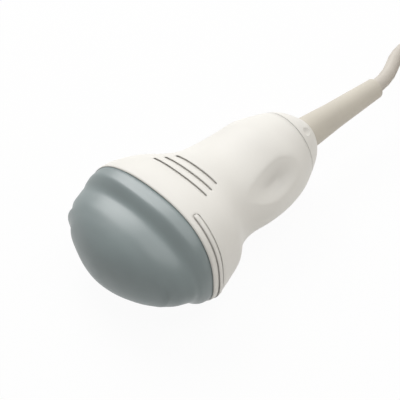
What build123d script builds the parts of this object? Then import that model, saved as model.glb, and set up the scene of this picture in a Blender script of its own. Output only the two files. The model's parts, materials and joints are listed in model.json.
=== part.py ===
from build123d import *
from math import cos, copysign, degrees, pi, radians, sin, sqrt, tan
import os

# Convex ultrasound probe, lying on a broad side, with its cable and system plug.
# X runs from the lens to the cable, Y across the head, Z up. The origin lies on the
# table under the middle of the probe, lens tip to end of strain relief.
# The probe's own pieces are drawn about its axis with x = 0 at the lens seam.

# Housing sections: distance behind the seam, full width, full thickness
front_lead = 5.0
front_width = 61.4
front_thickness = 37.4
rim_width = 62.5
rim_thickness = 38.4
head_at = 7.0
head_width = 58.7
head_thickness = 39.2
shoulder_at = 14.0
shoulder_width = 53.6
shoulder_thickness = 36.2
neck_at = 21.0
neck_width = 43.4
neck_thickness = 34.0
waist_at = 27.0
waist_width = 41.6
waist_thickness = 31.2
dip_at = 33.0
dip_width = 43.2
dip_thickness = 29.6
grip_at = 40.0
grip_width = 42.8
grip_thickness = 30.8
swell_at = 47.0
swell_width = 40.4
swell_thickness = 32.4
tail_at = 54.0
tail_width = 36.6
tail_thickness = 30.4
body_length = 61.2
cap_seam_width = 29.4
cap_seam_thickness = 28.8
head_squareness = 2.8
handle_squareness = 2.0
housing_wall = 2.4
outline_points = 16
housing_steps = 24

# Lens: flange, soft valley and domed nose, measured ahead of the seam
flange_step = 0.2
flange_edge_at = 4.8
valley_at = 10.2
flange_sections = 8
dome_base = 8.1
dome_depth = 19.4
dome_width = 60.6
dome_thickness = 30.9
dome_fullness_wide = 1.68
dome_fullness_thick = 2.52
dome_squareness = 2.1
dome_angles = (10, 15, 21, 28, 36, 45, 54, 63, 72, 80, 86)
seam_lead = 2.6
seam_margin = 4.0
skirt_length = 4.0

# Grooves, orientation bead and finger hollows on the housing
groove_count = 3
groove_start = 11.4
groove_pitch = 3.65
groove_width = 1.0
groove_depth = 0.7
groove_first_length = 26.6
groove_shortening = 3.1
bead_offset = 2.6
bead_width = 1.6
bead_height = 0.3
bead_channel_margin = 0.5
bead_channel_depth = 0.35
bead_reach = 18.4
hollow_at = 44.0
hollow_angle = 146.0
hollow_depth = 1.2
hollow_length = 50.0
hollow_breadth = 26.0
hollow_bulge = 12.0
hollow_surface = 18.6

# Rear cap and strain relief
cap_length = 10.4
cap_middle_at = 5.2
cap_middle_width = 23.4
cap_middle_thickness = 23.2
cap_end_width = 13.8
cap_end_thickness = 13.8
cap_end_radius = 0.5
cap_bore_radius = 7.0
cap_end_wall = 2.3
cap_seam_gap = 0.2
spigot_length = 4.2
boot_length = 40.0
boot_root_radius = 6.4
boot_middle_at = 16.0
boot_middle_radius = 5.2
boot_end_radius = 4.1
boot_flange_radius = 6.8
boot_flange_thickness = 1.2
boot_neck_radius = 5.6

# Cap screws, under dished plugs
screw_behind_seam = 4.0
screw_angle = 127.0
cap_screw_count = 2
screw_radius = 1.2
screw_reach = 5.4
screw_head_radius = 1.6
screw_head_height = 1.0
screw_seat_radius = 10.3
plug_radius = 1.7
plug_thickness = 0.8
plug_dish = 0.35

# Acoustic stack: arcs about one centre, thin layers from the lens inwards
lens_centre_thickness = 3.2
array_radius = 28.0
array_half_angle = 42.0
element_height = 10.0
element_count = 48
matching_thickness = 0.6
piezo_thickness = 1.2
kerf_width = 0.14
kerf_depth = 0.9
bond_line = 0.05
flex_thickness = 0.25
frame_depth = 5.0

# Boards and their carrier
board_start = 16.0
wire_room = 4.0
board_width = 24.0
board_thickness = 1.4
board_gap = 2.2
chassis_thickness = 2.0
chassis_width = 26.0
foot_depth = 3.0
boss_radius = 2.2
board_screw_radius = 1.0
board_screw_head = 1.9
board_screw_head_height = 1.1
boss_inset = 3.5
socket_length = 5.0
socket_width = 14.4
socket_height = 1.8
socket_side_wall = 1.0
arm_width = 3.0
bush_ring_length = 7.0
bush_ring_wall = 2.0

# Gland bush and cable core
bush_radius = 6.0
bush_flange_length = 3.5
core_radius = 2.5
fan_width = 9.6
fan_height = 7.0

# Seals
seal_width = 1.3
seal_depth = 1.0
nose_seal_at = 1.6
cap_seal_at = 1.6

# Cable and its put-away coil
cable_diameter = 5.7
cable_in_boot = 9.0
bend_share = 0.45
turn_pitch = 5.8
coil_radius = 28.5
coil_columns = 2
coil_rows = 4
coil_from_exit = 58.0
coil_aside = -23.85
entry_stub = 20.0
cable_first_bend = (2.5, 0.0, 0.0)
cable_second_bend = (11.3, 2.0, 0.45)
cable_third_bend = (20.2, 5.6, 1.25)
cable_last_run = 9.0
lead_first_run = 9.0
lead_rise = (17.3, 0.3, 2.0)
lead_in_boot = 9.0
lead_last_run = 11.5
tie_thickness = 1.0
tie_width = 9.0

# System plug
plug_length = 66.0
plug_width = 48.0
plug_height = 30.0
plug_split = 15.0
plug_corner = 6.0
plug_edge = 1.2
plug_wall = 2.4
plug_from_coil = 66.0
plug_entry_height = 8.0
plug_boot_length = 18.0
plug_boot_root = 5.6
plug_boot_tip = 4.0
plug_boot_neck = 4.6
plug_boot_flange = 5.5
plug_boot_flange_thickness = 1.6
window_length = 44.0
window_width = 30.0
contact_recess = 0.8
contact_block_height = 6.4
contact_flange = 1.2
contact_flange_thickness = 2.0
blade_columns = 10
blade_pitch = 4.0
blade_rows_at = (6.5, 11.0)
blade_length = 2.2
blade_thickness = 0.8
blade_stand = 1.0
plug_board_thickness = 1.6
plug_board_length = 44.0
plug_board_width = 36.0
plug_screw_radius = 1.3
plug_screw_head = 2.4
plug_screw_head_height = 1.6
plug_screw_length = 17.0
plug_boss_radius = 3.4
plug_boss_inset = 6.2
wire_fan_width = 14.0
wire_fan_height = 2.4

# Rotary lock of the plug
shaft_radius = 3.0
cam_radius = 4.6
cam_thickness = 2.4
cam_pocket_radius = 5.2
bush_wall = 1.8
bush_collar = 1.6
bush_collar_thickness = 2.0
clip_thickness = 0.8
clip_groove = 0.5
clip_width = 1.6
lever_gap = 0.3
lever_hub_radius = 9.0
lever_height = 6.0
lever_seat = 2.6
lever_reach = 26.0
lever_tip_radius = 5.0
lever_edge = 1.0
lever_screw_radius = 1.4
lever_screw_head = 2.6
lever_screw_head_height = 1.4
lever_screw_sink = 1.6
lever_screw_length = 8.0

# Clearances
slip_fit = 0.1
running_fit = 0.06
flush_gap = 0.05
overcut = 1.0

# Derived places along the probe's axis
dome_tip = -(dome_base + dome_depth)
cap_end = body_length + cap_length
boot_start = cap_end + flush_gap
boot_end = boot_start + boot_length
probe_length = boot_end - dome_tip
rim_x = -probe_length / 2 - dome_tip
skirt_inset = housing_wall + slip_fit
cable_radius = cable_diameter / 2

housing_guides = [
    (-front_lead, front_width, front_thickness),
    (0.0, rim_width, rim_thickness),
    (head_at, head_width, head_thickness),
    (shoulder_at, shoulder_width, shoulder_thickness),
    (neck_at, neck_width, neck_thickness),
    (waist_at, waist_width, waist_thickness),
    (dip_at, dip_width, dip_thickness),
    (grip_at, grip_width, grip_thickness),
    (swell_at, swell_width, swell_thickness),
    (tail_at, tail_width, tail_thickness),
    (body_length, cap_seam_width, cap_seam_thickness),
    (body_length + cap_middle_at, cap_middle_width, cap_middle_thickness),
    (cap_end, cap_end_width, cap_end_thickness),
]
housing_line = Spline(*housing_guides)
housing_sections = []
for i in range(housing_steps + 1):
    guide = housing_line @ (i / housing_steps)
    housing_sections.append((guide.X, guide.Y, guide.Z))
lens_sections = [(seam_margin, rim_width, rim_thickness)]
for i in range(flange_sections + 1):
    ahead = valley_at * i / flange_sections
    fall = min(max((ahead - flange_edge_at) / (valley_at - flange_edge_at), 0.0), 1.0)
    flange_share = (1 + cos(pi * fall)) / 2
    section_width = dome_width + flange_share * (rim_width - dome_width)
    section_thickness = dome_thickness + flange_share * (rim_thickness - dome_thickness)
    lens_sections.append((-ahead, section_width, section_thickness))
for angle in dome_angles:
    ahead = dome_base + dome_depth * sin(radians(angle))
    section_width = dome_width * cos(radians(angle)) ** (2 / dome_fullness_wide)
    section_thickness = dome_thickness * cos(radians(angle)) ** (2 / dome_fullness_thick)
    lens_sections.append((-ahead, section_width, section_thickness))


# General helpers


def squareness_at(x):
    """Squareness of the outline, from the dome over the head to the handle."""
    if x < 0:
        share = min(-x / valley_at, 1.0)
        return head_squareness + (dome_squareness - head_squareness) * share
    share = min(x / waist_at, 1.0)
    return head_squareness + (handle_squareness - head_squareness) * share


def oval(x, width, thickness, inset=0.0):
    """Closed superellipse across the axis at x, drawn in by the inset."""
    power = 2 / squareness_at(x)
    points = []
    for i in range(outline_points):
        angle = 2 * pi * i / outline_points
        y = (width / 2 - inset) * copysign(abs(cos(angle)) ** power, cos(angle))
        z = (thickness / 2 - inset) * copysign(abs(sin(angle)) ** power, sin(angle))
        points.append((x, y, z))
    return Wire([Spline(*points, periodic=True)])


def skin(sections, inset=0.0):
    """Smooth solid through the sections, drawn in by the inset."""
    return Solid.make_loft([oval(x, width, thickness, inset) for x, width, thickness in sections])


def block(x0, x1, y0, y1, z0, z1):
    return Pos((x0 + x1) / 2, (y0 + y1) / 2, (z0 + z1) / 2) * Box(x1 - x0, y1 - y0, z1 - z0)


def rod_x(x0, x1, radius, y=0.0, z=0.0):
    return Pos((x0 + x1) / 2, y, z) * Rot(0, 90, 0) * Cylinder(radius, x1 - x0)


def rod_z(z0, z1, radius, x=0.0, y=0.0):
    return Pos(x, y, (z0 + z1) / 2) * Cylinder(radius, z1 - z0)


def slab(x0, x1):
    return block(x0, x1, -rim_width, rim_width, -rim_width, rim_width)


def housing_slice(inset, x0, x1):
    """Slice of the housing's form, drawn in by the inset."""
    return skin(housing_sections, inset) & slab(x0, x1)


def grooved_ring(x0, x1, groove_at):
    """Slice that fits in the housing, with a seal groove round it."""
    groove_end = groove_at + seal_width
    inner = skin(housing_sections, skirt_inset)
    neck = housing_slice(skirt_inset + seal_depth, groove_at, groove_end)
    return (inner & slab(x0, groove_at)) + neck + (inner & slab(groove_end, x1))


def seal_ring(groove_at):
    """Seal that fills a groove up to the housing's wall."""
    start = groove_at + flush_gap
    end = groove_at + seal_width - flush_gap
    outer = housing_slice(housing_wall + flush_gap, start, end)
    inner = housing_slice(skirt_inset + seal_depth - flush_gap, groove_at, groove_at + seal_width)
    return one_solid(outer - inner)


def turned(profile):
    """Solid of revolution about the X axis from (x, radius) points."""
    outline = make_face(Polyline(*[(x, 0, r) for x, r in profile], close=True))
    return revolve(outline, Axis.X)


def one_solid(shape):
    """The single solid of a boolean result."""
    return max(shape.solids(), key=lambda solid: solid.volume)


# Lens and front of the housing

seam_reach = rim_width / 2 + seam_margin


def seam_at(y):
    """Place of the bowed seam along the axis, at y from the middle."""
    return -seam_lead * (y / (rim_width / 2)) ** 2


seam_bow = -seam_at(seam_reach)


def seam_line(shift):
    """Bowed seam seen from above, moved along the axis by the shift."""
    return ThreePointArc((shift - seam_bow, -seam_reach), (shift, 0), (shift - seam_bow, seam_reach))


def zone_ahead(shift):
    """Everything in front of the seam."""
    front = dome_tip - seam_margin
    back = shift - seam_bow
    sides = Polyline((back, seam_reach), (front, seam_reach), (front, -seam_reach), (back, -seam_reach))
    return extrude(make_face([seam_line(shift), sides]), rim_thickness, both=True)


array_centre = dome_tip + lens_centre_thickness + array_radius
array_half_width = array_radius * sin(radians(array_half_angle))
stack_half_height = element_height / 2
pocket_half_height = stack_half_height + flex_thickness + 2 * slip_fit
frame_start = skirt_length + slip_fit
frame_end = frame_start + frame_depth


def sector(radius, back, half_width, half_height):
    """Block with a round front about the array's centre."""
    reach = sqrt(radius**2 - half_width**2)
    front_x = array_centre - reach
    front = ThreePointArc((front_x, -half_width), (array_centre - radius, 0), (front_x, half_width))
    sides = Polyline((front_x, half_width), (back, half_width), (back, -half_width), (front_x, -half_width))
    return extrude(make_face([front, sides]), half_height, both=True)


def layer(outer_radius, thickness):
    """Curved strip of the array, as wide as the elements' arc."""
    inner = Pos(array_centre, 0, 0) * Cylinder(outer_radius - thickness, element_height)
    half_width = outer_radius * sin(radians(array_half_angle))
    full = sector(outer_radius, array_centre, half_width, stack_half_height)
    wedge_side = 2 * array_radius
    side = wedge_side * tan(radians(array_half_angle))
    front = array_centre - wedge_side
    wedge = make_face(Polyline((array_centre, 0), (front, side), (front, -side), close=True))
    return one_solid((full & extrude(wedge, element_height, both=True)) - inner)


nose = skin(lens_sections, flange_step) & zone_ahead(0.0)
skirt_front = (front_lead + seam_lead) / 2
skirt = grooved_ring(-skirt_front, skirt_length, nose_seal_at)
pocket = sector(array_radius, skirt_length + overcut, array_half_width, pocket_half_height)
acoustic_lens = one_solid((nose + skirt) - pocket)
nose_seal = seal_ring(nose_seal_at)

# Acoustic stack

outer_face = array_radius - bond_line
outer_matching_layer = layer(outer_face, matching_thickness)
inner_face = outer_face - matching_thickness - bond_line
inner_matching_layer = layer(inner_face, matching_thickness)
piezo_face = inner_face - matching_thickness - bond_line
piezo_array = layer(piezo_face, piezo_thickness)
kerf_step = 2 * array_half_angle / element_count
kerf_reach = 2 * kerf_depth
kerfs = []
for i in range(1, element_count):
    kerf_angle = -array_half_angle + kerf_step * i
    cut = Box(kerf_reach, kerf_width, 2 * element_height)
    cut = Pos(-piezo_face + kerf_depth - kerf_reach / 2, 0, 0) * cut
    kerfs.append(Pos(array_centre, 0, 0) * Rot(0, 0, kerf_angle) * cut)
piezo_array = one_solid(piezo_array - kerfs)
backing_face = piezo_face - piezo_thickness - bond_line
backing_half_width = backing_face * sin(radians(array_half_angle))
backing_block = sector(backing_face, frame_end, backing_half_width, stack_half_height - flush_gap)

frame_window = block(
    frame_start - overcut,
    frame_end + overcut,
    -backing_half_width - slip_fit,
    backing_half_width + slip_fit,
    -pocket_half_height,
    pocket_half_height,
)
array_frame = one_solid(housing_slice(skirt_inset, frame_start, frame_end) - frame_window)

# Housing with its grooves and orientation bead


def bead_strip(width, shift):
    """Strip along the seam round the near narrow side, seen from above, as a tall prism."""
    start = bead_offset + shift
    bead_middle = (seam_reach + bead_reach) / 2
    near_edge = ThreePointArc(*[(start + seam_at(y), -y) for y in (seam_reach, bead_middle, bead_reach)])
    far_edge = Pos(width, 0, 0) * near_edge
    tip = ((near_edge @ 1) + (far_edge @ 1)) / 2 + Vector(0, width / 2, 0)
    end_cap = ThreePointArc(near_edge @ 1, tip, far_edge @ 1)
    closing = Line(near_edge @ 0, far_edge @ 0)
    return extrude(make_face([near_edge, end_cap, far_edge, closing]), rim_thickness, both=True)


housing_form = skin(housing_sections)
axis_height = -housing_form.bounding_box().min.Z
handle_shell = (housing_form - zone_ahead(0.0)) & slab(-2 * front_lead, body_length)
hollow_shape = scale(Sphere(1), by=(hollow_length / 2, hollow_bulge / 2, hollow_breadth / 2))
hollow_middle = hollow_surface - hollow_depth + hollow_bulge / 2
for side_angle in (hollow_angle, 180 - hollow_angle):
    handle_shell -= Pos(hollow_at, 0, 0) * Rot(side_angle, 0, 0) * Pos(0, hollow_middle, 0) * hollow_shape
handle_shell -= skin(housing_sections, housing_wall)
groove_floor = skin(housing_sections, groove_depth)
for i in range(groove_count):
    groove_length = groove_first_length - groove_shortening * i
    groove_place = Pos(groove_start + groove_pitch * i, 0, 0) * Rot(0, 0, 90)
    groove = groove_place * extrude(SlotOverall(groove_length, groove_width), rim_thickness)
    handle_shell -= groove - groove_floor
channel_width = bead_width + 2 * bead_channel_margin
handle_shell -= bead_strip(channel_width, -bead_channel_margin) - skin(housing_sections, bead_channel_depth)
bead = bead_strip(bead_width, 0.0) & skin(housing_sections, -bead_height)
handle_shell += bead - skin(housing_sections, housing_wall / 2)
handle_shell = one_solid(handle_shell)

# Rear cap, seal, screws and plugs

cap_inside_end = cap_end - cap_end_wall
cap_form = one_solid(housing_form & slab(body_length + cap_seam_gap, cap_end + overcut))
cap_end_rim = cap_form.edges().sort_by(Axis.X)[-1]
cap_form = fillet(cap_end_rim, cap_end_radius)
cap_groove_at = body_length - spigot_length + cap_seal_at
spigot = grooved_ring(body_length - spigot_length, body_length + 2 * cap_seam_gap, cap_groove_at)
rear_cap = cap_form + spigot
rear_cap -= rod_x(body_length - spigot_length - overcut, cap_inside_end, cap_bore_radius)
rear_cap -= rod_x(cap_inside_end - overcut, cap_end + overcut, boot_neck_radius + slip_fit)
cap_seal = seal_ring(cap_groove_at)

screw_x = body_length + screw_behind_seam
cap_screws = []
screw_plugs = []
bush_holes = []
for i in range(cap_screw_count):
    turn = Pos(screw_x, 0, 0) * Rot(screw_angle - 90 + 360 * i / cap_screw_count, 0, 0)
    rear_cap -= turn * rod_z(0, cap_seam_width, screw_radius + slip_fit)
    rear_cap -= turn * rod_z(screw_seat_radius, cap_seam_width, plug_radius + flush_gap)
    screw_foot = screw_seat_radius - screw_reach
    head_base = screw_seat_radius + flush_gap
    head = rod_z(head_base, head_base + screw_head_height, screw_head_radius)
    cap_screws.append(turn * (head + rod_z(screw_foot, head_base, screw_radius)))
    bush_holes.append(turn * rod_z(screw_foot - flush_gap, cap_bore_radius, screw_radius + flush_gap))
    plug_base = head_base + screw_head_height + flush_gap
    dish_radius = (plug_radius**2 + plug_dish**2) / (2 * plug_dish)
    dish = Pos(0, 0, plug_base + plug_thickness - plug_dish + dish_radius) * Sphere(dish_radius)
    screw_plugs.append(turn * (rod_z(plug_base, plug_base + plug_thickness, plug_radius) - dish))
rear_cap = one_solid(rear_cap)

# Strain relief, gland bush and cable core

jacket_start = boot_end - cable_in_boot
boot_flange_start = cap_inside_end - flush_gap - boot_flange_thickness
bore = core_radius + slip_fit
strain_relief = turned(
    [
        (boot_flange_start, bore),
        (boot_flange_start, boot_flange_radius),
        (cap_inside_end - flush_gap, boot_flange_radius),
        (cap_inside_end - flush_gap, boot_neck_radius),
        (boot_start, boot_neck_radius),
        (boot_start, boot_root_radius),
        (boot_start + boot_middle_at, boot_middle_radius),
        (boot_end, boot_end_radius),
        (boot_end, cable_radius + slip_fit),
        (jacket_start - flush_gap, cable_radius + slip_fit),
        (jacket_start - flush_gap, bore),
    ]
)
bush_end = boot_flange_start - flush_gap
bush_start = body_length - spigot_length - bush_ring_length
gland_bush = rod_x(bush_start, bush_end, bush_radius)
gland_bush += rod_x(bush_end - bush_flange_length, bush_end, cap_bore_radius - slip_fit)
gland_bush = one_solid(gland_bush - rod_x(bush_start - overcut, bush_end + overcut, bore) - bush_holes)
cable_core = rod_x(bush_start, jacket_start - flush_gap, core_radius)

# Carrier, boards, sockets, flexible circuits and conductors

board_length = bush_start - wire_room - board_start
board_end = board_start + board_length
deck = chassis_thickness / 2
board_floor = deck + board_gap
foot_start = frame_end + slip_fit
chassis = block(foot_start, board_end, -chassis_width / 2, chassis_width / 2, -deck, deck)
foot = Box(foot_depth, 2 * backing_half_width, 2 * stack_half_height)
chassis += Pos(foot_start + foot_depth / 2, 0, 0) * foot
ring_start = bush_start + slip_fit
ring_end = body_length - spigot_length - slip_fit
ring_bore = bush_radius + slip_fit
for side in (-1, 1):
    arm_outer = side * (ring_bore + bush_ring_wall)
    arm_inner = arm_outer - side * arm_width
    low, high = sorted((arm_outer, arm_inner))
    chassis += block(board_end - arm_width, ring_end, low, high, -deck, deck)
chassis += rod_x(ring_start, ring_end, ring_bore + bush_ring_wall)
chassis -= rod_x(ring_start - overcut, ring_end + overcut, ring_bore)
boss_places = []
for x in (board_start + boss_inset, board_end - boss_inset):
    for y in (-board_width / 2 + boss_inset, board_width / 2 - boss_inset):
        boss_places.append((x, y))
for x, y in boss_places:
    chassis += rod_z(-board_floor, board_floor, boss_radius, x, y)
    chassis -= rod_z(-board_floor, board_floor, board_screw_radius + flush_gap, x, y)
chassis = one_solid(chassis)

board_base = board_floor + flush_gap
board_top = board_base + board_thickness
board_seat = board_top + flush_gap
upper_board = block(board_start, board_end, -board_width / 2, board_width / 2, board_base, board_top)
board_screws = []
for x, y in boss_places:
    upper_board -= rod_z(board_floor, board_top + overcut, board_screw_radius + slip_fit, x, y)
    head = rod_z(board_seat, board_seat + board_screw_head_height, board_screw_head, x, y)
    screw = head + rod_z(deck, board_seat, board_screw_radius, x, y)
    board_screws.append(screw)
    board_screws.append(mirror(screw, Plane.XY))
upper_board = one_solid(upper_board)
lower_board = mirror(upper_board, Plane.XY)
flex_floor = stack_half_height
flex_end = board_start + boss_inset + boss_radius + socket_length
socket_start = flex_end - socket_length / 2
socket_slot_width = socket_width - 2 * socket_side_wall
socket = Pos(flex_end, 0, board_seat + socket_height / 2) * Box(socket_length, socket_width, socket_height)
socket -= block(
    socket_start - overcut,
    flex_end + flush_gap,
    -socket_slot_width / 2,
    socket_slot_width / 2,
    flex_floor - flush_gap,
    flex_floor + flex_thickness + flush_gap,
)
flex_sockets = [socket, mirror(socket, Plane.XY)]

flex_half_width = backing_half_width - 2 * slip_fit
tail_half_width = socket_slot_width / 2 - slip_fit
flex_front = array_centre - sqrt(piezo_face**2 - flex_half_width**2)
flex_tip = array_centre - piezo_face
front_arc = ThreePointArc((flex_front, -flex_half_width), (flex_tip, 0), (flex_front, flex_half_width))
flex_neck = board_start + boss_inset - board_screw_head - 2 * slip_fit
flex_sides = Polyline(
    (flex_front, flex_half_width),
    (frame_end, flex_half_width),
    (flex_neck, tail_half_width),
    (flex_end, tail_half_width),
    (flex_end, -tail_half_width),
    (flex_neck, -tail_half_width),
    (frame_end, -flex_half_width),
    (flex_front, -flex_half_width),
)
signal_flex_upper = Pos(0, 0, flex_floor) * extrude(make_face([front_arc, flex_sides]), flex_thickness)
signal_flex_lower = mirror(signal_flex_upper, Plane.XY)
fan_start = board_end + slip_fit
fan_end = bush_start - flush_gap
fan_plane = Plane(origin=(fan_start, 0, 0), x_dir=(0, 1, 0), z_dir=(1, 0, 0))
fan_wide = fan_plane * RectangleRounded(fan_width, fan_height, fan_height / 3)
fan_round = Plane(origin=(fan_end, 0, 0), x_dir=(0, 1, 0), z_dir=(1, 0, 0)) * Circle(core_radius)
wire_bundle = loft([fan_wide, fan_round])

# Cable, put-away coil, tie and plug lead

probe_place = Pos(rim_x, 0, axis_height)
exit_x = rim_x + boot_end
coil_x = exit_x + coil_from_exit
coil_y = coil_aside
coil_half_width = ((coil_columns - 1) * turn_pitch + cable_diameter) / 2
coil_height = (coil_rows - 1) * turn_pitch + cable_diameter
coil_base = tie_thickness + 2 * flush_gap
outer_turn = coil_radius + (coil_columns - 1) * turn_pitch / 2
tangent_y = coil_y + outer_turn
top_turn_z = coil_base + coil_height - cable_radius
low_turn_z = coil_base + cable_radius


def cord_path(points):
    """Straight runs joined by arcs as large as the runs allow."""
    radii = []
    for before, corner, after in zip(points, points[1:], points[2:]):
        turn = (corner - before).get_angle(after - corner)
        shorter = min((corner - before).length, (after - corner).length)
        radii.append(bend_share * shorter / tan(radians(turn) / 2))
    print("cord radii in mm:", [round(radius, 1) for radius in radii])
    return FilletPolyline(*points, radius=radii)


def cord_tube(points):
    path = cord_path(points)
    section = Plane(origin=path @ 0, z_dir=path % 0) * Circle(cable_radius)
    tube = sweep(section, path=path)
    swept = pi * cable_radius**2 * path.length
    print("cord volume over section times length:", round(tube.volume / swept, 4))
    return tube


cable_exit = Vector(exit_x, 0, axis_height)
cable_route = [
    cable_exit - Vector(cable_in_boot, 0, 0),
    cable_exit + Vector(*cable_first_bend),
    cable_exit + Vector(*cable_second_bend),
    cable_exit + Vector(*cable_third_bend),
    Vector(coil_x - entry_stub - cable_last_run, tangent_y, top_turn_z),
    Vector(coil_x - entry_stub, tangent_y, top_turn_z),
]
cable = cord_tube(cable_route)

coil_middle = Plane.XZ * Pos(coil_radius, coil_base + coil_height / 2)
coil_outline = RectangleRounded(
    2 * (coil_half_width + flush_gap), coil_height + 2 * flush_gap, cable_radius + flush_gap
)
cable_coil = Pos(coil_x, coil_y, 0) * revolve(coil_middle * coil_outline, Axis.Z)
cable_coil += rod_x(coil_x - entry_stub, coil_x, cable_radius, tangent_y, top_turn_z)
cable_coil += rod_x(coil_x, coil_x + entry_stub, cable_radius, tangent_y, low_turn_z)
cable_coil = one_solid(cable_coil)

tie_fit = 2 * flush_gap
tie_inner = RectangleRounded(2 * (coil_half_width + tie_fit), coil_height + 2 * tie_fit, cable_radius)
tie_outer = RectangleRounded(
    2 * (coil_half_width + tie_fit + tie_thickness),
    coil_height + 2 * (tie_fit + tie_thickness),
    cable_radius + tie_thickness,
)
tie_angle = degrees(tie_width / coil_radius)
tie_ring = revolve(coil_middle * (tie_outer - tie_inner), Axis.Z, revolution_arc=tie_angle)
coil_tie = Pos(coil_x, coil_y, 0) * Rot(0, 0, -90 - tie_angle / 2) * tie_ring

plug_x = coil_x + plug_from_coil
plug_boot_end = plug_x - plug_boot_length
lead_start = Vector(coil_x + entry_stub, tangent_y, low_turn_z)
lead_end = Vector(plug_boot_end + lead_in_boot, tangent_y, plug_entry_height)
lead_route = [
    lead_start,
    lead_start + Vector(lead_first_run, 0, 0),
    lead_start + Vector(*lead_rise),
    lead_end - Vector(lead_last_run, 0, 0),
    lead_end,
]
plug_lead = cord_tube(lead_route)

# System plug: drawn with x = 0 at its cable face, y = 0 at the cable's axis, z = 0 on the table

plug_place = Pos(plug_x, tangent_y, 0)
plug_middle = plug_length / 2


def rounded_box(inset, z0, z1):
    outline = RectangleRounded(plug_length - 2 * inset, plug_width - 2 * inset, plug_corner - inset)
    return Pos(plug_middle, 0, z0) * extrude(outline, z1 - z0)


plug_boss_places = []
for x in (plug_boss_inset, plug_length - plug_boss_inset):
    for y in (-plug_width / 2 + plug_boss_inset, plug_width / 2 - plug_boss_inset):
        plug_boss_places.append((x, y))

lower_outer = rounded_box(0, 0, plug_split)
lower_outer = fillet(lower_outer.faces().sort_by(Axis.Z)[0].edges(), plug_edge)
plug_lower_shell = lower_outer - rounded_box(plug_wall, plug_wall, plug_split)
upper_outer = rounded_box(0, plug_split + flush_gap, plug_height)
upper_outer = fillet(upper_outer.faces().sort_by(Axis.Z)[-1].edges(), plug_edge)
plug_upper_shell = upper_outer - rounded_box(plug_wall, plug_split, plug_height - plug_wall)
plug_screws = []
screw_seat = plug_wall + plug_screw_head_height
screw_top = screw_seat + plug_screw_length
for x, y in plug_boss_places:
    plug_lower_shell += rod_z(plug_wall / 2, plug_split, plug_boss_radius, x, y)
    plug_upper_shell += rod_z(plug_split + flush_gap, plug_height - plug_wall / 2, plug_boss_radius, x, y)
    plug_lower_shell -= rod_z(0, screw_seat, plug_screw_head + slip_fit, x, y)
    plug_lower_shell -= rod_z(0, plug_split, plug_screw_radius + slip_fit, x, y)
    plug_upper_shell -= rod_z(plug_split, screw_top + slip_fit, plug_screw_radius + flush_gap, x, y)
    head = rod_z(plug_wall - flush_gap, screw_seat - flush_gap, plug_screw_head, x, y)
    plug_screws.append(head + rod_z(screw_seat - flush_gap, screw_top, plug_screw_radius, x, y))
window = Pos(plug_middle, 0, 0) * Box(window_length, window_width, 3 * plug_wall)
plug_lower_shell -= window
plug_lower_shell -= rod_x(-overcut, plug_wall + overcut, plug_boot_neck + slip_fit, 0, plug_entry_height)
plug_lower_shell = one_solid(plug_lower_shell)

bush_outer = shaft_radius + running_fit + bush_wall
bush_hole_base = plug_height - 2 * plug_wall
plug_upper_shell -= rod_z(bush_hole_base, plug_height + overcut, bush_outer + flush_gap, plug_middle)
plug_upper_shell = one_solid(plug_upper_shell)

# Contacts and board of the plug

block_top = contact_recess + contact_block_height
flange_floor = plug_wall + flush_gap
contact_block = Pos(plug_middle, 0, (contact_recess + block_top) / 2) * Box(
    window_length - 2 * slip_fit, window_width - 2 * slip_fit, contact_block_height
)
contact_block += Pos(plug_middle, 0, flange_floor + contact_flange_thickness / 2) * Box(
    window_length + 2 * contact_flange, window_width + 2 * contact_flange, contact_flange_thickness
)
contact_block -= rod_z(0, block_top + overcut, shaft_radius + slip_fit, plug_middle)
cam_top = contact_recess + cam_thickness
contact_block -= rod_z(0, cam_top + slip_fit, cam_pocket_radius, plug_middle)
contact_blades = []
blade_slots = []
blade_rows = [side * place for place in blade_rows_at for side in (-1, 1)]
for column in range(blade_columns):
    blade_x = plug_middle + (column - (blade_columns - 1) / 2) * blade_pitch
    for blade_y in blade_rows:
        blade_height = contact_block_height + blade_stand
        middle = Pos(blade_x, blade_y, contact_recess + blade_height / 2)
        contact_blades.append(middle * Box(blade_length, blade_thickness, blade_height))
        slot_length = blade_length + 2 * flush_gap
        slot_thickness = blade_thickness + 2 * flush_gap
        blade_slots.append(middle * Box(slot_length, slot_thickness, 3 * blade_height))
contact_block = one_solid(contact_block - blade_slots)
plug_board_floor = block_top + blade_stand + flush_gap
plug_board_top = plug_board_floor + plug_board_thickness
plug_board = Pos(plug_middle, 0, (plug_board_floor + plug_board_top) / 2) * Box(
    plug_board_length, plug_board_width, plug_board_thickness
)
shaft_hole = shaft_radius + slip_fit
plug_board -= rod_z(plug_board_floor - overcut, plug_board_top + overcut, shaft_hole, plug_middle)
plug_board = one_solid(plug_board)

boot_wall_face = plug_wall + flush_gap
boot_inside = boot_wall_face + plug_boot_flange_thickness
lead_stop = lead_in_boot - plug_boot_length + flush_gap
plug_boot = turned(
    [
        (-plug_boot_length, cable_radius + slip_fit),
        (-plug_boot_length, plug_boot_tip),
        (-flush_gap, plug_boot_root),
        (-flush_gap, plug_boot_neck),
        (boot_wall_face, plug_boot_neck),
        (boot_wall_face, plug_boot_flange),
        (boot_inside, plug_boot_flange),
        (boot_inside, core_radius),
        (lead_stop, core_radius),
        (lead_stop, cable_radius + slip_fit),
    ]
)
plug_boot = Pos(0, 0, plug_entry_height) * plug_boot
wire_radius = core_radius - flush_gap
wires_end = plug_middle - plug_board_length / 2 - flush_gap
fan_back = boot_inside - wire_radius / 2
fan_plan = Polyline(
    (fan_back, wire_fan_height / 2),
    (fan_back, -wire_fan_height / 2),
    (wires_end, -wire_fan_width / 2),
    (wires_end, wire_fan_width / 2),
    close=True,
)
wire_fan = Pos(0, 0, plug_entry_height) * extrude(make_face(fan_plan), wire_fan_height / 2, both=True)
plug_wires = wire_fan + rod_x(lead_stop, boot_inside, wire_radius, 0, plug_entry_height)
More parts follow.
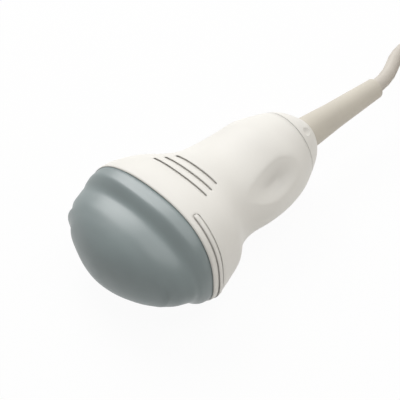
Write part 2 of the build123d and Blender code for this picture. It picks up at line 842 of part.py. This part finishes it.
plug_wires = one_solid(plug_wires)

# Rotary lock of the plug: key shaft in a bush, held by a clip, turned by a lever

lever_base = plug_height + lever_gap
lever_top = lever_base + lever_height
bush_shoulder = plug_height - plug_wall - flush_gap
collar_base = bush_shoulder - bush_collar_thickness
shaft_bush = rod_z(bush_shoulder, plug_height, bush_outer, plug_middle)
shaft_bush += rod_z(collar_base, bush_shoulder, bush_outer + bush_collar, plug_middle)
shaft_bush -= rod_z(collar_base - overcut, plug_height + overcut, shaft_radius + running_fit, plug_middle)
shaft_bush = one_solid(shaft_bush)

shaft_top = lever_base + lever_seat - flush_gap
clip_top = collar_base - slip_fit
clip_base = clip_top - clip_thickness
groove_radius = shaft_radius - clip_groove
clip_inner = groove_radius + flush_gap
lock_shaft = rod_z(contact_recess, shaft_top, shaft_radius, plug_middle)
cam = rod_z(contact_recess, cam_top, cam_radius, plug_middle)
lock_shaft += cam & Pos(plug_middle, 0, 0) * Box(2 * cam_radius, 2 * shaft_radius, 2 * plug_height)
clip_space = rod_z(clip_base - flush_gap, clip_top + flush_gap, cam_radius, plug_middle)
clip_space -= rod_z(clip_base - overcut, clip_top + overcut, groove_radius, plug_middle)
lever_screw_seat = lever_top - lever_screw_sink
lever_screw_end = lever_screw_seat - lever_screw_length
lock_shaft -= clip_space
thread_radius = lever_screw_radius + flush_gap
lock_shaft -= rod_z(lever_screw_end - flush_gap, shaft_top + overcut, thread_radius, plug_middle)
lock_shaft = one_solid(lock_shaft)
shaft_clip = rod_z(clip_base, clip_top, shaft_radius + clip_width, plug_middle)
shaft_clip -= rod_z(clip_base - overcut, clip_top + overcut, clip_inner, plug_middle)
clip_mouth = Box(2 * lever_hub_radius, clip_inner, 4 * clip_thickness)
clip_mouth = Pos(plug_middle + lever_hub_radius, 0, clip_base) * clip_mouth
shaft_clip = one_solid(shaft_clip - clip_mouth)

lever_outline = make_hull(
    [
        Pos(plug_middle, 0) * CenterArc((0, 0), lever_hub_radius, 0, 360),
        Pos(plug_middle + lever_reach, 0) * CenterArc((0, 0), lever_tip_radius, 0, 360),
    ]
)
lock_lever = Pos(0, 0, lever_base) * extrude(lever_outline, lever_height)
lock_lever = fillet(lock_lever.faces().sort_by(Axis.Z)[-1].edges(), lever_edge)
lock_lever -= rod_z(lever_base - overcut, lever_base + lever_seat, shaft_radius + flush_gap, plug_middle)
lock_lever -= rod_z(lever_base, lever_top + overcut, lever_screw_radius + slip_fit, plug_middle)
lock_lever -= rod_z(lever_screw_seat, lever_top + overcut, lever_screw_head + slip_fit, plug_middle)
lock_lever = one_solid(lock_lever)
lever_screw_floor = lever_screw_seat + flush_gap
lever_screw_top = lever_screw_floor + lever_screw_head_height
lever_screw = rod_z(lever_screw_floor, lever_screw_top, lever_screw_head, plug_middle)
lever_screw += rod_z(lever_screw_end, lever_screw_floor, lever_screw_radius, plug_middle)
lever_screw = one_solid(lever_screw)

# Placing and writing the pieces

probe_pieces = {
    "acoustic_lens": acoustic_lens,
    "nose_seal": nose_seal,
    "outer_matching_layer": outer_matching_layer,
    "inner_matching_layer": inner_matching_layer,
    "piezo_array": piezo_array,
    "backing_block": backing_block,
    "array_frame": array_frame,
    "handle_shell": handle_shell,
    "rear_cap": rear_cap,
    "cap_seal": cap_seal,
    "cap_screws": cap_screws,
    "screw_plugs": screw_plugs,
    "strain_relief": strain_relief,
    "gland_bush": gland_bush,
    "cable_core": cable_core,
    "chassis": chassis,
    "upper_board": upper_board,
    "lower_board": lower_board,
    "board_screws": board_screws,
    "flex_sockets": flex_sockets,
    "signal_flex_upper": signal_flex_upper,
    "signal_flex_lower": signal_flex_lower,
    "wire_bundle": wire_bundle,
}
cord_pieces = {
    "cable": cable,
    "cable_coil": cable_coil,
    "coil_tie": coil_tie,
    "plug_lead": plug_lead,
}
plug_pieces = {
    "plug_boot": plug_boot,
    "plug_lower_shell": plug_lower_shell,
    "plug_upper_shell": plug_upper_shell,
    "plug_screws": plug_screws,
    "contact_block": contact_block,
    "contact_blades": contact_blades,
    "plug_board": plug_board,
    "plug_wires": plug_wires,
    "shaft_bush": shaft_bush,
    "lock_shaft": lock_shaft,
    "shaft_clip": shaft_clip,
    "lock_lever": lock_lever,
    "lever_screw": lever_screw,
}


def write_pieces(pieces, place):
    """One STEP file for each piece; equal pieces share a file as a group."""
    for name, piece in pieces.items():
        if isinstance(piece, list):
            piece = Compound([solid for shape in piece for solid in shape.solids()])
        export_step(place * piece, f"parts/{name}.step")


os.makedirs("parts", exist_ok=True)
write_pieces(probe_pieces, probe_place)
write_pieces(cord_pieces, Pos(0, 0, 0))
write_pieces(plug_pieces, plug_place)
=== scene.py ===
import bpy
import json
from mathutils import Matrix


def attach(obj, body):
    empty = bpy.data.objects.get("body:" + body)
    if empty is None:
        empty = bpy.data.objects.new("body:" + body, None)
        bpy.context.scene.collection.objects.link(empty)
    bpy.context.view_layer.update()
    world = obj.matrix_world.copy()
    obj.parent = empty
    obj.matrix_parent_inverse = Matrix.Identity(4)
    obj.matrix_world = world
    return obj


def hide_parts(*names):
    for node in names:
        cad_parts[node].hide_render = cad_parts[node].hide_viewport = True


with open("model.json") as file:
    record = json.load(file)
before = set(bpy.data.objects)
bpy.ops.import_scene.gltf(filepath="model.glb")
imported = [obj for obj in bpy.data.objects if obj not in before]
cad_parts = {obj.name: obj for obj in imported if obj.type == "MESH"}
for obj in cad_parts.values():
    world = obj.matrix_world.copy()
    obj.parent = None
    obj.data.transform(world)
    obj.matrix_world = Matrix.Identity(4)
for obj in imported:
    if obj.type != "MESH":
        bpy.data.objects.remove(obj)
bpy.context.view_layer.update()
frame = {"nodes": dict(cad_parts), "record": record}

import json
from math import cos, pi, radians, sin

import bpy
from mathutils import Matrix, Vector

MM = 0.001
nodes = frame["nodes"]
link_object = bpy.context.scene.collection.objects.link

# Places shared with the CAD source, in millimetres
SEAM_X = -42.075
AXIS_HEIGHT = 19.656
EXIT_X = 69.575
CABLE_DIAMETER = 5.7
COIL_CENTRE = (127.575, -23.85)
COIL_RADIUS = 28.5
TURN_PITCH = 5.8
COIL_ROWS = 4
LOW_TURN_Z = 3.95
TANGENT_Y = COIL_CENTRE[1] + COIL_RADIUS + TURN_PITCH / 2
TOP_TURN_Z = LOW_TURN_Z + (COIL_ROWS - 1) * TURN_PITCH
ENTRY_STUB = 20.0
PLUG_X = 193.575
CABLE_IN_PLUG = 9.0
PLUG_ENTRY_Z = 8.0

# Camera found from the photograph: angles in degrees, lengths in millimetres
CAMERA_TURN = 40.49
CAMERA_DOWN = 43.51
CAMERA_ROLL = 2.615
CAMERA_DISTANCE = 372.8
PIXELS_PER_MM = 2.932
AIM_PIXEL = (157.01, 230.37)
IMAGE_SIDE = 400
SENSOR_MM = 36.0
NEAR_CLIP = 10.0


def make_camera():
    """Camera that sees the seam's centre at the aim pixel."""
    turn = radians(CAMERA_TURN)
    down_angle = radians(CAMERA_DOWN)
    roll = radians(CAMERA_ROLL)
    right = Vector((cos(turn), -sin(turn), 0))
    ahead = Vector((sin(turn) * cos(down_angle), cos(turn) * cos(down_angle), -sin(down_angle)))
    down = ahead.cross(right)
    picture_right = cos(roll) * right + sin(roll) * down
    picture_down = -sin(roll) * right + cos(roll) * down
    aside, below = [(pixel - IMAGE_SIDE / 2) / PIXELS_PER_MM for pixel in AIM_PIXEL]
    seam = Vector((SEAM_X, 0, AXIS_HEIGHT))
    eye = seam - (aside * picture_right + below * picture_down + CAMERA_DISTANCE * ahead)
    data = bpy.data.cameras.new("camera")
    data.sensor_width = SENSOR_MM
    data.lens = PIXELS_PER_MM * CAMERA_DISTANCE * SENSOR_MM / IMAGE_SIDE
    data.clip_start = NEAR_CLIP * MM
    camera = bpy.data.objects.new("camera", data)
    turning = Matrix((picture_right, -picture_down, -ahead)).transposed()
    camera.matrix_world = Matrix.Translation(eye * MM) @ turning.to_4x4()
    link_object(camera)
    bpy.context.scene.camera = camera


# Cable: out of the strain relief, round the put-away coil and into the plug

STEPS_PER_TURN = 24
CABLE_OUT = [
    (EXIT_X - 4.4, 0.0, AXIS_HEIGHT),
    (EXIT_X + 7.8, 0.0, AXIS_HEIGHT),
    (EXIT_X + 21.4, TANGENT_Y, TOP_TURN_Z),
    (COIL_CENTRE[0] - ENTRY_STUB, TANGENT_Y, TOP_TURN_Z),
]
LEAD_START_X = COIL_CENTRE[0] + ENTRY_STUB
LEAD_END_X = PLUG_X - CABLE_IN_PLUG
LEAD_IN = [
    (COIL_CENTRE[0], TANGENT_Y, LOW_TURN_Z),
    (LEAD_START_X, TANGENT_Y, LOW_TURN_Z),
    (LEAD_START_X + 9.0, TANGENT_Y, LOW_TURN_Z),
    (LEAD_START_X + 17.3, TANGENT_Y + 0.3, LOW_TURN_Z + 2.0),
    (LEAD_END_X - 11.5, TANGENT_Y, PLUG_ENTRY_Z),
    (LEAD_END_X, TANGENT_Y, PLUG_ENTRY_Z),
]


def coil_slots():
    """Places of the turns in winding order, from the top row down: radius and height."""
    outer = COIL_RADIUS + TURN_PITCH / 2
    inner = COIL_RADIUS - TURN_PITCH / 2
    order = []
    for row in reversed(range(COIL_ROWS)):
        pair = (outer, inner) if row % 2 == 1 else (inner, outer)
        for radius in pair:
            order.append((radius, LOW_TURN_Z + row * TURN_PITCH))
    return order


def coil_points():
    """Turns wound clockwise; each place is left an eighth of a turn earlier than the one before.

    The spline runs inside its control points, and the swell makes up for that.
    """
    slots = coil_slots()
    moving = STEPS_PER_TURN // len(slots)
    steps_per_slot = STEPS_PER_TURN - moving
    swell = 1 / (0.75 + 0.25 * cos(2 * pi / STEPS_PER_TURN))
    points = []
    for index, (radius, height) in enumerate(slots):
        following = slots[min(index + 1, len(slots) - 1)]
        for step in range(steps_per_slot):
            share = max(0.0, (step - (steps_per_slot - moving)) / moving)
            share = share * share * (3 - 2 * share)
            r = (radius + (following[0] - radius) * share) * swell
            z = height + (following[1] - height) * share
            angle = pi / 2 - 2 * pi * (index * steps_per_slot + step) / STEPS_PER_TURN
            points.append((COIL_CENTRE[0] + r * cos(angle), COIL_CENTRE[1] + r * sin(angle), z))
    return points


def make_cable():
    """One spline along the whole route; the points' radius is the cable's."""
    route = CABLE_OUT + coil_points() + LEAD_IN
    curve = bpy.data.curves.new("cable_run", "CURVE")
    curve.dimensions = "3D"
    spline = curve.splines.new("NURBS")
    spline.points.add(len(route) - 1)
    for point, place in zip(spline.points, route):
        point.co = (*[v * MM for v in place], 1.0)
        point.radius = CABLE_DIAMETER / 2 * MM
    spline.order_u = 3
    spline.use_endpoint_u = True
    spline.resolution_u = 4
    curve.bevel_depth = 1.0
    curve.bevel_resolution = 4
    curve.use_fill_caps = True
    run = bpy.data.objects.new("cable_run", curve)
    link_object(run)
    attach(run, "probe")
    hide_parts("cable", "cable_coil", "plug_lead")
    return run


# Materials

# Painted shade in grooves and joins: how far the occlusion test reaches, and the occlusion at which the
# darkening is full and at which it ends
GAP_REACH = 1.4
GAP_CLOSED = 0.35
GAP_OPEN = 0.85
EDGE_SAMPLES = 12
DRIFT_SCALE = 60.0
DRIFT_DETAIL = 3.0
DRIFT_LOW = 0.3
DRIFT_HIGH = 0.7
GLOSS_DRIFT = 0.05
GRAIN_DETAIL = 2.0
GRAIN_STRENGTH = 0.5
HOUSING_WHITE = (0.85, 0.835, 0.79)

# Colour, roughness, size and depth of the grain in millimetres, and what differs from the usual
# A look's crevice strength darkens its colour in grooves and joins as painted shade
LOOKS = {
    "housing_plastic": dict(
        color=HOUSING_WHITE, roughness=0.45, grain=0.5, depth=0.006, mottle=0.015, specular=0.3, crevice_shade=0.2
    ),
    "lens_rubber": dict(
        color=(0.195, 0.24, 0.243), roughness=0.38, grain=0.45, depth=0.006, mottle=0.05, specular=0.85,
        crevice_shade=0.1, rounding=2.0, softer=(SEAM_X - 11.0, SEAM_X - 17.0, 5.6),
    ),
    "boot_rubber": dict(color=(0.64, 0.60, 0.52), roughness=0.55, grain=0.6, depth=0.010, crevice_shade=0.4),
    "seal_rubber": dict(color=(0.02, 0.02, 0.022), roughness=0.6, grain=0.5, depth=0.010),
    "matching_resin": dict(color=(0.10, 0.09, 0.08), roughness=0.5, grain=0.4, depth=0.008),
    "piezo_ceramic": dict(color=(0.42, 0.34, 0.2), roughness=0.45, grain=0.3, depth=0.006),
    "backing_resin": dict(color=(0.03, 0.03, 0.033), roughness=0.6, grain=0.5, depth=0.012),
    "frame_metal": dict(color=(0.62, 0.63, 0.65), roughness=0.35, grain=0.4, depth=0.006, metallic=1.0),
    "circuit_board": dict(color=(0.02, 0.11, 0.055), roughness=0.4, grain=0.5, depth=0.006),
    "socket_plastic": dict(color=(0.03, 0.03, 0.03), roughness=0.45, grain=0.4, depth=0.008),
    "flex_film": dict(color=(0.40, 0.17, 0.03), roughness=0.3, grain=0.5, depth=0.004),
    "screw_steel": dict(color=(0.55, 0.55, 0.56), roughness=0.3, grain=0.3, depth=0.004, metallic=1.0),
    "bush_brass": dict(color=(0.66, 0.46, 0.17), roughness=0.3, grain=0.3, depth=0.004, metallic=1.0),
    "screened_core": dict(color=(0.36, 0.31, 0.27), roughness=0.5, grain=0.4, depth=0.015),
    "cable_jacket": dict(color=(0.60, 0.56, 0.50), roughness=0.5, grain=0.6, depth=0.010),
    "tie_strap": dict(color=(0.03, 0.032, 0.035), roughness=0.8, grain=0.35, depth=0.03),
    "plug_plastic": dict(color=(0.62, 0.60, 0.56), roughness=0.45, grain=0.5, depth=0.012),
    "lever_plastic": dict(color=(0.15, 0.17, 0.19), roughness=0.42, grain=0.5, depth=0.010),
    "contact_plastic": dict(color=(0.012, 0.012, 0.014), roughness=0.45, grain=0.4, depth=0.008),
    "contact_metal": dict(color=(0.80, 0.60, 0.24), roughness=0.25, grain=0.3, depth=0.003, metallic=1.0),
}
# The handle's crevice strength also paints shade into its grooves and joins
HANDLE_LOOK = dict(
    color=HOUSING_WHITE, roughness=0.45, grain=0.5, depth=0.006, mottle=0.015, specular=0.3,
    crevice_shade=0.1, rounding=1.6, softer=(-16.0, -6.0, 3.4),
)


def drifting_color(tree, drift, color, mottle):
    """The colour, a little darker and lighter from place to place."""
    tint = tree.nodes.new("ShaderNodeValToRGB")
    low, high = tint.color_ramp.elements
    low.position = DRIFT_LOW
    high.position = DRIFT_HIGH
    low.color = (*[v * (1 - mottle) for v in color], 1)
    high.color = (*[min(1.0, v * (1 + mottle)) for v in color], 1)
    tree.links.new(drift, tint.inputs["Fac"])
    return tint.outputs["Color"]


def painted_gap_shade(tree, color, crevice_shade):
    """The colour with painted shade: darkened where grooves and joins keep the light out."""
    closeness = tree.nodes.new("ShaderNodeAmbientOcclusion")
    closeness.samples = EDGE_SAMPLES
    closeness.inputs["Distance"].default_value = GAP_REACH * MM
    reach = tree.nodes.new("ShaderNodeMapRange")
    reach.inputs["From Min"].default_value = GAP_CLOSED
    reach.inputs["From Max"].default_value = GAP_OPEN
    reach.inputs["To Min"].default_value = 1 - crevice_shade
    reach.inputs["To Max"].default_value = 1.0
    tree.links.new(closeness.outputs["AO"], reach.inputs["Value"])
    scaled = tree.nodes.new("ShaderNodeVectorMath")
    scaled.operation = "SCALE"
    tree.links.new(color, scaled.inputs[0])
    tree.links.new(reach.outputs["Result"], scaled.inputs["Scale"])
    return scaled.outputs["Vector"]


def rounded_edges(tree, place, rounding, softer):
    """Surface direction with edges rounded off.

    The rounding may grow along the probe: softer holds where that starts, where it ends,
    and the widest rounding.
    """
    rounded = tree.nodes.new("ShaderNodeBevel")
    rounded.samples = EDGE_SAMPLES
    rounded.inputs["Radius"].default_value = rounding * MM
    if softer:
        start, end, widest = softer
        axes = tree.nodes.new("ShaderNodeSeparateXYZ")
        tree.links.new(place, axes.inputs["Vector"])
        wider = tree.nodes.new("ShaderNodeMapRange")
        wider.inputs["From Min"].default_value = start * MM
        wider.inputs["From Max"].default_value = end * MM
        wider.inputs["To Min"].default_value = rounding * MM
        wider.inputs["To Max"].default_value = widest * MM
        tree.links.new(axes.outputs["X"], wider.inputs["Value"])
        tree.links.new(wider.outputs["Result"], rounded.inputs["Radius"])
    return rounded.outputs["Normal"]


def moulded(
    name, color, roughness, grain, depth, mottle=0.04, metallic=0.0, specular=0.5, crevice_shade=0.0, rounding=0.0,
    softer=None,
):
    """Fine grain in the surface, with a slight drift of colour and gloss."""
    material = bpy.data.materials.new(name)
    material.use_nodes = True
    tree = material.node_tree
    shader = tree.nodes["Principled BSDF"]
    shader.inputs["Metallic"].default_value = metallic
    shader.inputs["Specular IOR Level"].default_value = specular
    place = tree.nodes.new("ShaderNodeTexCoord").outputs["Object"]
    drift = tree.nodes.new("ShaderNodeTexNoise")
    drift.inputs["Scale"].default_value = DRIFT_SCALE
    drift.inputs["Detail"].default_value = DRIFT_DETAIL
    tree.links.new(place, drift.inputs["Vector"])
    shade = drifting_color(tree, drift.outputs["Fac"], color, mottle)
    # Painted shade: the colour darkened in grooves and joins
    if crevice_shade:
        shade = painted_gap_shade(tree, shade, crevice_shade)
    tree.links.new(shade, shader.inputs["Base Color"])
    gloss = tree.nodes.new("ShaderNodeMapRange")
    gloss.inputs["To Min"].default_value = roughness - GLOSS_DRIFT
    gloss.inputs["To Max"].default_value = roughness + GLOSS_DRIFT
    tree.links.new(drift.outputs["Fac"], gloss.inputs["Value"])
    tree.links.new(gloss.outputs["Result"], shader.inputs["Roughness"])
    pores = tree.nodes.new("ShaderNodeTexNoise")
    pores.inputs["Scale"].default_value = 1 / (grain * MM)
    pores.inputs["Detail"].default_value = GRAIN_DETAIL
    tree.links.new(place, pores.inputs["Vector"])
    bump = tree.nodes.new("ShaderNodeBump")
    bump.inputs["Strength"].default_value = GRAIN_STRENGTH
    bump.inputs["Distance"].default_value = depth * MM
    tree.links.new(pores.outputs["Fac"], bump.inputs["Height"])
    if rounding:
        tree.links.new(rounded_edges(tree, place, rounding, softer), bump.inputs["Normal"])
    tree.links.new(bump.outputs["Normal"], shader.inputs["Normal"])
    return material


def dress(cable_run):
    """Gives each CAD piece and the cable the material of its slot; the handle has one with soft hollows."""
    finishes = {slot: moulded(slot, **look) for slot, look in LOOKS.items()}
    for entry in frame["record"]["subparts"]:
        shown = nodes[entry["node"]]
        shown.data.materials.clear()
        shown.data.materials.append(finishes[entry["material_slot"]])
    nodes["handle_shell"].data.materials[0] = moulded("handle_plastic", **HANDLE_LOOK)
    cable_run.data.materials.append(finishes["cable_jacket"])


# Floor, backdrop and light, in metres and watts

FLOOR_REACH = 4.0
FLOOR_GREY = 0.86
FLOOR_WHITE_SHARE = 0.95
WORLD_COLOR = (1.0, 0.96, 0.91)
WORLD_STRENGTH = 0.25
WARM = (1.0, 0.95, 0.88)
LIGHT_AIM = (0, 0, 0.02)


def white_to_camera(shader_name, tree, plain, share):
    """Mixes a plain shader with white light that only camera, mirror and glass rays see."""
    path = tree.nodes.new("ShaderNodeLightPath")
    seen = path.outputs["Is Camera Ray"]
    for ray in ("Is Glossy Ray", "Is Transmission Ray"):
        either = tree.nodes.new("ShaderNodeMath")
        either.operation = "MAXIMUM"
        tree.links.new(seen, either.inputs[0])
        tree.links.new(path.outputs[ray], either.inputs[1])
        seen = either.outputs["Value"]
    part = tree.nodes.new("ShaderNodeMath")
    part.operation = "MULTIPLY"
    part.inputs[1].default_value = share
    tree.links.new(seen, part.inputs[0])
    white = tree.nodes.new(shader_name)
    white.inputs["Color"].default_value = (1, 1, 1, 1)
    white.inputs["Strength"].default_value = 1.0
    mix = tree.nodes.new("ShaderNodeMixShader")
    tree.links.new(part.outputs["Value"], mix.inputs["Fac"])
    tree.links.new(plain.outputs[0], mix.inputs[1])
    tree.links.new(white.outputs[0], mix.inputs[2])
    return mix.outputs[0]


def make_floor():
    far = FLOOR_REACH
    corners = [(-far, -far, 0), (far, -far, 0), (far, far, 0), (-far, far, 0)]
    mesh = bpy.data.meshes.new("floor")
    mesh.from_pydata(corners, [], [(0, 1, 2, 3)])
    floor = bpy.data.objects.new("floor", mesh)
    link_object(floor)
    material = bpy.data.materials.new("floor")
    material.use_nodes = True
    tree = material.node_tree
    tree.nodes.remove(tree.nodes["Principled BSDF"])
    plain = tree.nodes.new("ShaderNodeBsdfDiffuse")
    plain.inputs["Color"].default_value = (FLOOR_GREY, FLOOR_GREY, FLOOR_GREY, 1)
    surface = white_to_camera("ShaderNodeEmission", tree, plain, FLOOR_WHITE_SHARE)
    tree.links.new(surface, tree.nodes["Material Output"].inputs["Surface"])
    mesh.materials.append(material)


def make_world():
    world = bpy.data.worlds.new("studio")
    bpy.context.scene.world = world
    world.use_nodes = True
    tree = world.node_tree
    plain = tree.nodes["Background"]
    plain.inputs["Color"].default_value = (*WORLD_COLOR, 1)
    plain.inputs["Strength"].default_value = WORLD_STRENGTH
    surface = white_to_camera("ShaderNodeBackground", tree, plain, 1.0)
    tree.links.new(surface, tree.nodes["World Output"].inputs["Surface"])


def soft_box(name, place, side, power, color=(1, 1, 1)):
    data = bpy.data.lights.new(name, "AREA")
    data.shape = "SQUARE"
    data.size = side
    data.energy = power
    data.color = color
    lamp = bpy.data.objects.new(name, data)
    lamp.location = place
    lamp.rotation_euler = (Vector(LIGHT_AIM) - Vector(place)).to_track_quat("-Z", "Y").to_euler()
    link_object(lamp)


make_camera()
dress(make_cable())
make_floor()
make_world()
soft_box("key", (0.2, 0.6, 0.66), side=0.6, power=5.4)
soft_box("top", (0.1, -0.15, 0.9), side=0.8, power=3.0)
soft_box("fill", (-0.6, -0.45, 0.4), side=0.7, power=0.1)
soft_box("low", (0.35, -0.6, 0.14), side=0.5, power=0.65, color=WARM)
bpy.context.scene.view_settings.view_transform = "Standard"

bpy.context.view_layer.update()
